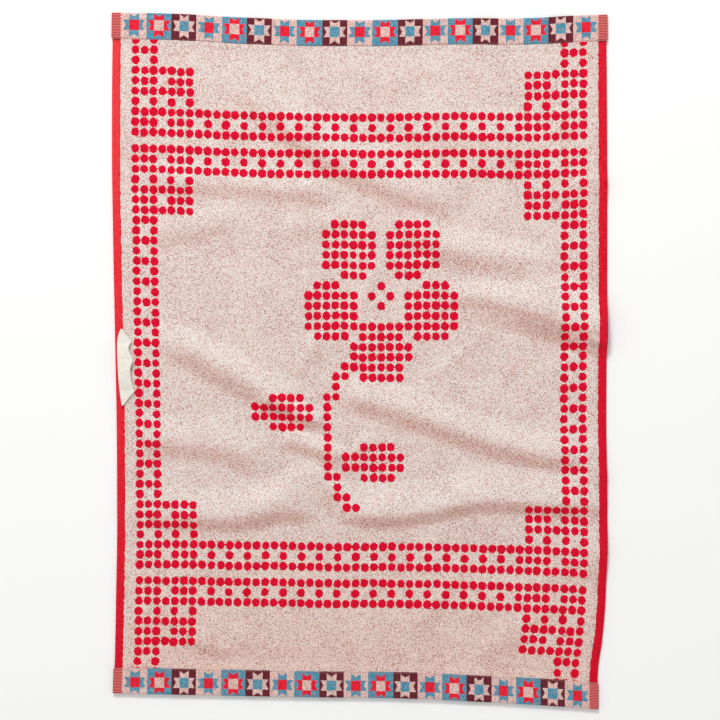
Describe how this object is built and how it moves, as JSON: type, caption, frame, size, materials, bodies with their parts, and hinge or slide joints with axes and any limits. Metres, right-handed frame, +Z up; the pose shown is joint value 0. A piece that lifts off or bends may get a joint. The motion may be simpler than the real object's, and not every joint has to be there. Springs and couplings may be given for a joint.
{
  "type": "hand towel",
  "caption": "Looped cotton hand towel laid flat with low folds, flat side hems, a patterned woven tape folded over each end and a sewn hanging loop.",
  "frame": {"origin": "middle of the towel's footprint, on the surface it lies on", "axes": "+X across the towel to the right, +Y along it towards its top end, +Z up from the surface to the face"},
  "size_m": [0.502, 0.7046, 0.0137],
  "materials": {
    "cotton_terry": "looped cotton pile, pale pink with a crimson woven pattern, and flat red side hems",
    "woven_star_tape": "flat figured cotton weave in pink, blue, red and maroon",
    "cotton_tape": "undyed cotton tape, matt"
  },
  "bodies": {
    "root": {"terry_cloth": "cotton_terry", "star_border_top": "woven_star_tape", "star_border_bottom": "woven_star_tape", "hang_loop": "cotton_tape"}
  },
  "joints": []
}
